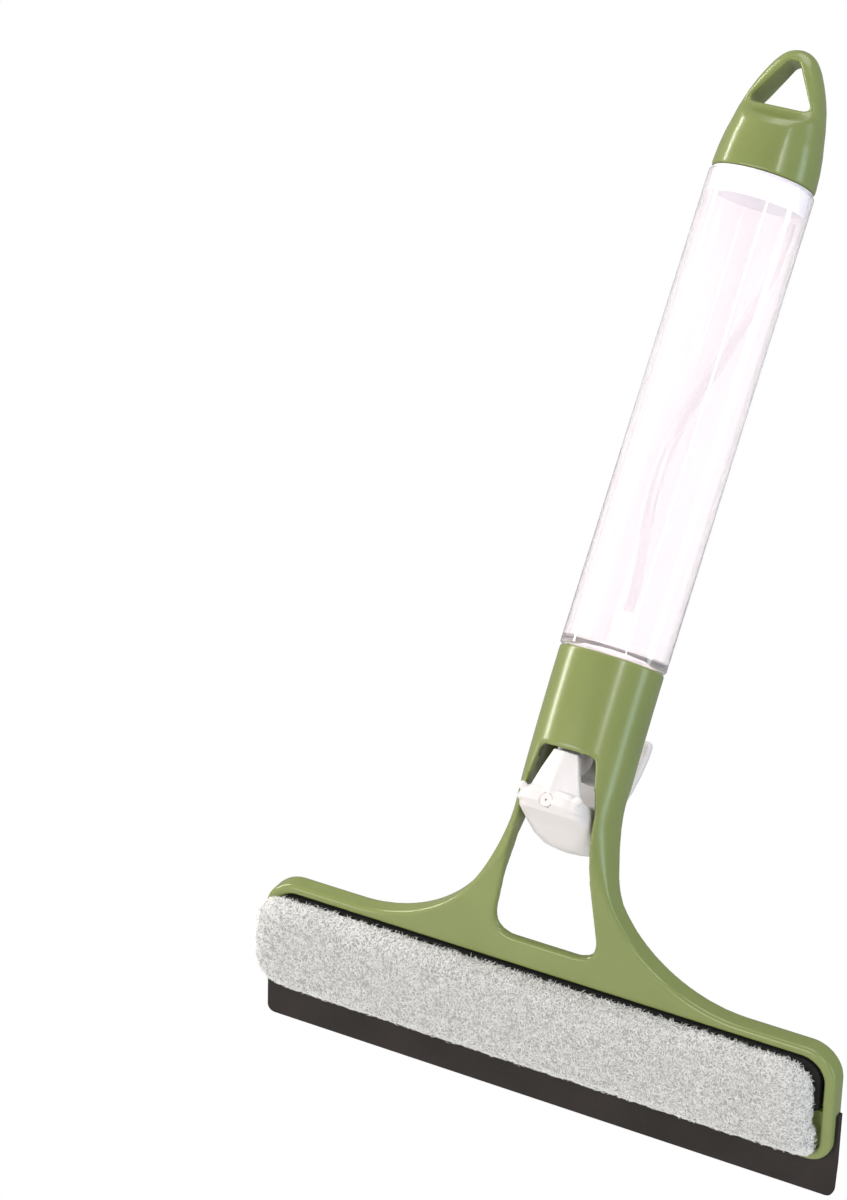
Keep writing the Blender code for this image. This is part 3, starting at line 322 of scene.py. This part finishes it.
# soft translucent silicone: a cup round the plug, with a flange on the bottle's mouth
silicone = moulded("silicone_rubber", "#fbeef1", "#f8e9ed", 0.4, 0.8, 0.01, IOR=1.41, Subsurface_Weight=0.3)


def dress(name, material):
    """Gives a node that keeps its CAD shape this material."""
    nodes[name].data.materials.clear()
    nodes[name].data.materials.append(material)


dress("cap_seal", silicone)

# ---- bottle: the clear tube that is the handle ---------------------------------------------------------
# Moulded in clear PET with a wall of 1.8 mm: open above for filling, with a thinner neck that is pressed into
# the collar below. It bends what is behind it at its sides and carries long soft reflections.
TUBE_TOP = 181.6


def turned(profile, sides):
    """Points and squares of a closed profile carried round Z: x = r cos u, y = r sin u, z = h."""
    turn = np.linspace(0, 2 * np.pi, sides, endpoint=False)
    radius, height = np.array(profile).T
    x = radius[:, None] * np.cos(turn)
    y = radius[:, None] * np.sin(turn)
    points = np.stack([x, y, np.broadcast_to(height[:, None], x.shape)], axis=2).reshape(-1, 3)
    row, column = np.meshgrid(np.arange(len(radius)), np.arange(sides), indexing="ij")
    above, beside = (row + 1) % len(radius), (column + 1) % sides
    corners = (row * sides + column, row * sides + beside, above * sides + beside, above * sides + column)
    return points, np.stack(corners, axis=2).reshape(-1, 4)


def round_corner(centre, radius, start, end, count=7):
    """Arc of a profile between two angles in degrees."""
    turn = np.radians(np.linspace(start, end, count))
    return list(zip(centre[0] + radius * np.cos(turn), centre[1] + radius * np.sin(turn)))


clear = bpy.data.materials.new("clear_pet")
clear.use_nodes = True
glass = clear.node_tree.nodes["Principled BSDF"]
glass.inputs["Transmission Weight"].default_value = 0.9
glass.inputs["IOR"].default_value = 1.5
where = add_node(clear, "TexCoord", {}).outputs["Object"]
long_way = add_node(clear, "Mapping", {"Vector": where, "Scale": (1.0, 1.0, 0.12)}).outputs[0]
# handling haze: faint rubbed streaks along the tube, about 2 mm apart, and draw lines from the mould
streaks = add_node(clear, "TexNoise", {"Vector": long_way, "Scale": 420.0, "Detail": 3.0})
haze = add_node(clear, "MapRange", {"Value": streaks.outputs["Fac"], "To Min": 0.015, "To Max": 0.05})
tint = add_node(
    clear, "Mix", {0: streaks.outputs["Fac"], 6: linear("#fbf7f9"), 7: linear("#f6f2f5")}, data_type="RGBA"
)
wave = add_node(clear, "TexNoise", {"Vector": long_way, "Scale": 60.0, "Detail": 1.0})
ripple = add_node(clear, "Bump", {"Height": wave.outputs["Fac"], "Strength": 0.25, "Distance": 0.0002})
clear.node_tree.links.new(haze.outputs[0], glass.inputs["Roughness"])
clear.node_tree.links.new(tint.outputs[2], glass.inputs["Base Color"])
clear.node_tree.links.new(ripple.outputs[0], glass.inputs["Normal"])
# light passes straight through to what is inside
see_through = add_node(clear, "BsdfTransparent", {"Color": linear("#f4f0f3")})
shadow_ray = add_node(clear, "LightPath", {}).outputs["Is Shadow Ray"]
both = add_node(clear, "MixShader", {0: shadow_ray, 1: glass.outputs[0], 2: see_through.outputs[0]})
clear.node_tree.links.new(both.outputs[0], clear.node_tree.nodes["Material Output"].inputs["Surface"])

tube_profile = (
    [(16.9, -11.7), (16.9, 0.3)] + round_corner((19.0, 1.3), 1.0, -90, 0) + [(20.0, 90.0)]
    + round_corner((19.3, TUBE_TOP - 0.7), 0.7, 0, 90) + round_corner((18.9, TUBE_TOP - 0.7), 0.7, 90, 180)
    + [(18.2, 90.0), (18.2, 5.5)] + round_corner((16.8, 4.2), 1.4, 0, -60) + [(15.1, 2.0), (15.1, -11.7)]
)
bottle = piece("clear_bottle", *turned(tube_profile, 160), clear)
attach(bottle, "frame_body")
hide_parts("bottle_tube")

# ---- parts of the pump ---------------------------------------------------------------------------------
# White polypropylene mouldings, a translucent polyethylene dip tube, a stainless ball, pin and spring.
white = moulded("white_polypropylene", "#e3dedf", "#dcd7d7", 0.32, 0.9, 0.012, IOR=1.49)
milky = moulded("polyethylene_tube", "#fbfafb", "#f6f6f7", 0.35, 1.5, 0.005, IOR=1.3, Transmission_Weight=1.0)
steel = moulded("stainless_steel", "#b9babd", "#a9abae", 0.22, 0.5, 0.004, Metallic=1.0)
rubber_seal = moulded("nitrile_rubber", "#2a2827", "#232120", 0.5, 0.6, 0.01)
FINISHES = {
    "dip_tube_adapter": white, "pump_body": white, "piston": white,
    "nozzle_insert": white, "swirl_pin": white,
    "dip_tube": milky, "inlet_ball": steel, "trigger_pin": steel, "piston_spring": steel,
    "outlet_valve": silicone, "piston_seal": rubber_seal,
}
for name, material in FINISHES.items():
    dress(name, material)

# ---- spray housing -------------------------------------------------------------------------------------
# White polypropylene cover over the pump: a ridge with two faces runs down from the window to a bowl that
# curves back under the pump, with a small round ear at each upper corner.
BOWL = np.array((
    (-50.8, 0.50, -17.2, -10.0), (-52.0, 0.74, -19.6, 0.0), (-54.0, 0.90, -20.5, 16.5),
    (-57.0, 0.97, -20.8, 16.5), (-60.0, 1.00, -17.0, 16.5), (-64.0, 1.00, -6.0, 16.5),
    (-67.2, 0.92, 1.0, 16.3), (-69.7, 0.72, 7.0, 16.0), (-71.0, 0.30, 11.0, 15.0),
))[::-1]                      # height, share of the half width, front and back
HOUSING = 13.4                # half width
RIDGE_AT = (-56.0, -45.0, -37.4)
INNER_AT = (-67.6, -65.2, -62.1, -59.8, -42.0)
PIVOT_Y, PIVOT_Z, PIN_HOLE = 13.5, -57.0, 1.65  # the trigger's pin, and the radius of its holes


def housing_field(x, y, z):
    """Rounded rectangles whose sides follow the table with height, joined to the ridge, whose faces fall away
    from the middle in straight lines, and to two balls; the inside is the same shape, smaller."""
    x = np.abs(x)
    wide = HOUSING * np.interp(z, BOWL[:, 0], BOWL[:, 1])
    front = np.interp(z, BOWL[:, 0], BOWL[:, 2])
    back = np.interp(z, BOWL[:, 0], BOWL[:, 3])
    slant = 0.62                  # the lower front leans back, so its distance is taken square to it
    ahead = np.where(z < -58.0, (front - y) * slant, front - y)
    bowl = soft_max(soft_max(x - wide, ahead, 7.0), y - back, 1.5)
    bowl = soft_max(bowl, np.maximum(z + 50.9, -71.0 - z), 1.6)
    half = np.interp(z, RIDGE_AT, (11.2, 7.4, 4.8))
    nose = np.interp(z, RIDGE_AT, (-20.8, -19.2, -17.2))
    drop = np.interp(z, RIDGE_AT, (7.2, 3.6, 1.3))
    faces = nose + drop * (np.sqrt((x / half) ** 2 + 0.012) - 0.11) - y
    ridge = soft_max(faces, x - half, 0.8)
    ridge = np.maximum(ridge, np.maximum(y + 12.6, np.maximum(z + 37.4, -57.0 - z)))
    ears = np.sqrt((x - 11.0) ** 2 + (y + 18.4) ** 2 + (z + 53.2) ** 2) - 1.6
    body = soft_min(soft_min(bowl, ridge, 0.9), ears, 0.8)
    inner_front = np.interp(z, INNER_AT, (7.2, 1.2, -6.0, -12.6, -12.4))
    inner_wide = 11.8 * np.interp(z, INNER_AT, (0.6, 0.88, 0.98, 1.0, 0.98))
    inner = soft_max(soft_max(x - inner_wide, inner_front - y, 5.0), np.maximum(z + 42.0, -67.6 - z), 1.0)
    body = soft_max(body, -inner, 0.6)
    nozzle = np.maximum(np.hypot(x, z + 56.0) - 2.41, y + 10.0)
    pin = np.hypot(y - PIVOT_Y, z - PIVOT_Z) - PIN_HOLE
    return soft_max(np.maximum(body, -nozzle), -pin, 0.5)


points, faces, normals = net(housing_field, (-15.0, -23.0, -73.0), (15.0, 18.5, -35.5), 0.5)
cover = piece("spray_cover", points, faces, white, normals)
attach(cover, "frame_body")
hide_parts("spray_housing")

# ---- trigger -------------------------------------------------------------------------------------------
# White polypropylene lever behind the collar, on a steel pin: a hub, and a plate that swings out and up.
LEVER = np.array((
    (2.0, 1.0), (9.3, 4.2), (15.4, 9.6), (19.6, 15.6), (22.8, 22.1), (24.9, 29.0), (25.0, 32.5),
))
SECTION_STEPS = 4             # straight steps in each section of the lever


def trigger_field(x, y, z):
    """Distance to the lever's middle line less half its thickness, with a round hub, between two sides."""
    y, z = y - PIVOT_Y, z - PIVOT_Z
    lever = np.full(np.shape(y), 99.0)
    count = len(LEVER) - 1
    for step in range(count * SECTION_STEPS):
        start, end = (
            np.array([np.interp(at / SECTION_STEPS, range(count + 1), LEVER[:, k]) for k in (0, 1)])
            for at in (step, step + 1)
        )
        along = end - start
        share = np.clip(((y - start[0]) * along[0] + (z - start[1]) * along[1]) / (along @ along), 0, 1)
        reach = np.hypot(y - start[0] - share * along[0], z - start[1] - share * along[1])
        lever = np.minimum(lever, reach - 1.6 - 0.45 * (step + share) / (count * SECTION_STEPS))
    body = soft_min(lever, np.hypot(y, z) - 4.2, 3.0)
    body = soft_max(body, np.abs(x) - 9.8, 1.8)
    return soft_max(body, PIN_HOLE - np.hypot(y, z), 0.4)


points, faces, normals = net(trigger_field, (-11.0, 8.0, -63.0), (11.0, 41.5, -20.0), 0.55)
lever = piece("trigger_lever", points, faces, white, normals)
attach(lever, "trigger_body")
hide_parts("trigger")

# ---- wiping blade --------------------------------------------------------------------------------------
# Black-brown rubber strip, pressed into the bar's slot, ground thinner towards its wiping edge.


def head_point(x, up, out):
    """A place on the head, from along the bar, up it and out of it, as x, y and z above the rim."""
    y = HEAD_Y - out * COS - up * SIN
    return np.stack(np.broadcast_arrays(x, y, HEAD_Z + up * COS - out * SIN), axis=-1)


# extruded rubber: dull, with a fine even grain
rubber = moulded(
    "extruded_rubber", "#2a2423", "#221d1c", 0.72, 0.7, 0.02, patch=25.0, Specular_IOR_Level=0.3
)
dress("rubber_blade", rubber)

# ---- hook tape and the pad's backing -------------------------------------------------------------------
# Black nylon hook tape glued in the tray, and the loop fabric on the pad's back that grips it.
# painted shade: the tape's own black is taken darker, near black, to stand for the deep shadow in the gap
# between the pad's top and the tray's rim
black_tape_and_painted_shade = moulded("hook_tape_and_painted_shade", "#0d0d0c", "#080808", 0.9, 0.9, 0.35, patch=8.0)
for name in ("hook_strip", "pad_backing"):
    dress(name, black_tape_and_painted_shade)

# ---- cleaning pad --------------------------------------------------------------------------------------
# White microfibre fleece sewn over foam: a soft block with round ends, standing proud of the crossbar. The
# pile is short, tangled and combed every way: pale strands over a ground painted grey, the painted shade of
# the hollows between them.
PAD_LEFT, PAD_RIGHT, PAD_FRONT, PAD_BACK = -119.5, 111.8, 13.6, 4.6
PAD_MIDDLE = 37.8             # up the head


def random_field(points, size, seed):
    """Smooth random numbers from -1 to 1: a lattice of them this many mm apart, blended by cubic steps."""
    lattice = np.random.default_rng(seed).uniform(-1, 1, (64, 64, 64))
    at = points / size
    cell = np.floor(at).astype(int)
    part = step_up(at - cell)
    total = 0
    for corner in np.ndindex(2, 2, 2):
        weight = np.prod(np.where(corner, part, 1 - part), axis=-1)
        total = total + weight * lattice[tuple(((cell + corner) % 64).T)]
    return total


def pad_field(x, up, out):
    """A block with round edges and rounder ends, crowned in front, with its lower right corner full."""
    end = np.where(x < 0, PAD_LEFT + 1.2 - x, x - PAD_RIGHT + 0.4 + 1.8 * step_up((up - 30) / 3))
    corner = np.where(x > 0, 12.0 - 8.0 * step_up((34 - up) / 6), 12.0)
    outline = soft_max(end, np.abs(up - PAD_MIDDLE) - 18.9 + 0.5 * step_up((np.abs(x + 4) - 85) / 30), corner)
    crown = PAD_FRONT - 1.1 - 1.2 * ((up - PAD_MIDDLE) / 19.5) ** 2
    return soft_max(soft_max(outline, out - crown, 7.5), PAD_BACK - out, 1.5)


points, faces, normals = net(pad_field, (-121.0, 16.0, 3.5), (114.0, 61.0, 14.5), 0.8)
tufts = 0.40 * random_field(points, 2.2, 3) + 0.35 * random_field(points, 1.1, 4)
points = points + normals * (tufts * step_up((points[:, 2] - PAD_BACK - 0.5) / 2.5))[:, None]

dice = np.random.default_rng(11)
STRANDS = 40000
front_faces = faces[points[faces].mean(axis=1)[:, 2] > PAD_BACK + 1.0]
chosen = front_faces[dice.integers(0, len(front_faces), STRANDS)]
spot = dice.uniform(0, 1, (STRANDS, 2, 1))
root = (points[chosen[:, 0]] * (1 - spot[:, 0]) + points[chosen[:, 1]] * spot[:, 0]) * (1 - spot[:, 1])
root = root + (points[chosen[:, 3]] * (1 - spot[:, 0]) + points[chosen[:, 2]] * spot[:, 0]) * spot[:, 1]
normal = normals[chosen[:, 0]]
lying = dice.normal(0, 1, (STRANDS, 3))
lying -= normal * (lying * normal).sum(axis=1)[:, None]
lying /= np.linalg.norm(lying, axis=1)[:, None]
across = np.cross(normal, lying)
length = dice.uniform(1.2, 2.8, (STRANDS, 1))
rise = dice.uniform(0.2, 0.9, (STRANDS, 1))
curl = dice.uniform(-0.5, 0.5, (STRANDS, 1))
rings = []
for share, thickness in ((0.0, 0.105), (0.55, 0.10), (1.0, 0.02)):
    # each strand leaves the cloth, bends over and curls to one side: a parabola in both directions
    middle = root - normal * 0.25 + lying * length * share + across * curl * length * share * share
    middle = middle + normal * rise * length * share * (1.25 - share)
    for angle in (0, 2 * math.pi / 3, 4 * math.pi / 3):
        rings.append(middle + (across * math.cos(angle) + normal * math.sin(angle)) * thickness)
strand_points = np.stack(rings, axis=1).reshape(-1, 3)
squares = []
for ring in range(2):
    for side in range(3):
        beside = (side + 1) % 3
        squares.append((ring * 3 + side, ring * 3 + beside, ring * 3 + 3 + beside, ring * 3 + 3 + side))
strand_faces = (np.arange(STRANDS)[:, None, None] * 9 + np.array(squares)).reshape(-1, 4) + len(points)
pad_points = np.concatenate([points, strand_points])
pad_points[:, 2] = np.minimum(pad_points[:, 2], PAD_FRONT + 1.8)

# painted shade: the cloth under the strands is grey, the shade of the hollows between them, though the fleece
# is white
painted_shade_ground = moulded("fleece_ground_painted_shade", "#a6a6a6", "#9b9b9b", 0.9, 0.7, 0.1, patch=3.0)
pile = moulded("fleece_pile", "#fafafa", "#f4f4f4", 0.85, 0.5, 0.05, patch=5.0, Sheen_Weight=0.2)
pad = piece(
    "cleaning_pad", head_point(pad_points[:, 0], pad_points[:, 1], pad_points[:, 2]),
    np.concatenate([faces, strand_faces])[:, ::-1], painted_shade_ground,
)
pad.data.materials.append(pile)
kinds = np.repeat((0, 1), (len(faces), len(strand_faces))).astype(np.int32)
pad.data.polygons.foreach_set("material_index", kinds)
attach(pad, "pad_body")
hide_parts("pad_fleece", "pad_core")

# ---- studio: a pale floor, an even white room and five soft lights -------------------------------------
floor_material = moulded("pale_floor", "#f4f4f4", "#f1f1f1", 0.8, 3.0, 0.05, patch=500.0)
FLOOR_RADIUS, FLOOR_DEPTH, FLOOR_SIDES = 3000, -900.0, 96
turn = np.linspace(0, 2 * np.pi, FLOOR_SIDES, endpoint=False)
level = np.full(FLOOR_SIDES, FLOOR_DEPTH - RIM)
disc = np.stack([FLOOR_RADIUS * np.cos(turn), FLOOR_RADIUS * np.sin(turn), level], axis=1)
floor = piece("floor", disc, np.arange(FLOOR_SIDES)[None, :], floor_material)

world = bpy.data.worlds.new("white_room")
bpy.context.scene.world = world
world.use_nodes = True
backdrop = world.node_tree.nodes["Background"]
backdrop.inputs["Color"].default_value = (1, 1, 1, 1)
path = add_node(world, "LightPath", {})
straight = {0: path.outputs["Is Camera Ray"], 1: path.outputs["Is Transmission Ray"]}
seen = add_node(world, "Math", straight, operation="MAXIMUM")
glow = add_node(world, "MapRange", {"Value": seen.outputs[0], "To Min": 0.36, "To Max": 1.0})
world.node_tree.links.new(glow.outputs[0], backdrop.inputs["Strength"])


def softbox(name, azimuth, elevation, distance, size, watts, colour):
    """A soft rectangular light aimed at the object, placed round it by two angles in degrees."""
    turn, rise = math.radians(azimuth), math.radians(elevation)
    aim = np.array((0.0, 0.02, -0.19))
    place = aim + distance * np.array(
        (math.sin(turn) * math.cos(rise), -math.cos(turn) * math.cos(rise), math.sin(rise))
    )
    lamp = bpy.data.lights.new(name, "AREA")
    lamp.shape = "RECTANGLE"
    lamp.size, lamp.size_y = size
    lamp.energy = watts
    lamp.color = linear(colour)[:3]
    made = bpy.data.objects.new(name, lamp)
    made.location = place
    made.rotation_euler = (math.pi / 2 - rise, 0, turn)
    bpy.context.scene.collection.objects.link(made)


softbox("left_strip", -76, 16, 1.5, (0.16, 1.4), 20, "#fffaf0")
softbox("front_strip", 44, 16, 1.7, (0.09, 1.4), 10, "#ffffff")
softbox("front_fill", -14, -28, 1.6, (1.1, 0.8), 26, "#fffaf4")
softbox("side", 100, 10, 1.4, (0.3, 1.2), 6, "#d4eef4")
softbox("top", 0, 72, 1.5, (0.9, 0.9), 9, "#ffffff")

# ---- camera: from the front right and a little below, with the handle leaning right --------------------
camera_data = bpy.data.cameras.new("camera")
camera_data.sensor_fit = "VERTICAL"
camera_data.sensor_height = 24
camera_data.lens = 84
camera_data.clip_end = 10
camera = bpy.data.objects.new("camera", camera_data)
camera.location = (0.56681, -1.39971, -0.34034)
camera.rotation_euler = (1.648703, -0.306847, 0.408472)
bpy.context.scene.collection.objects.link(camera)
bpy.context.scene.camera = camera
bpy.context.scene.view_settings.view_transform = "Standard"
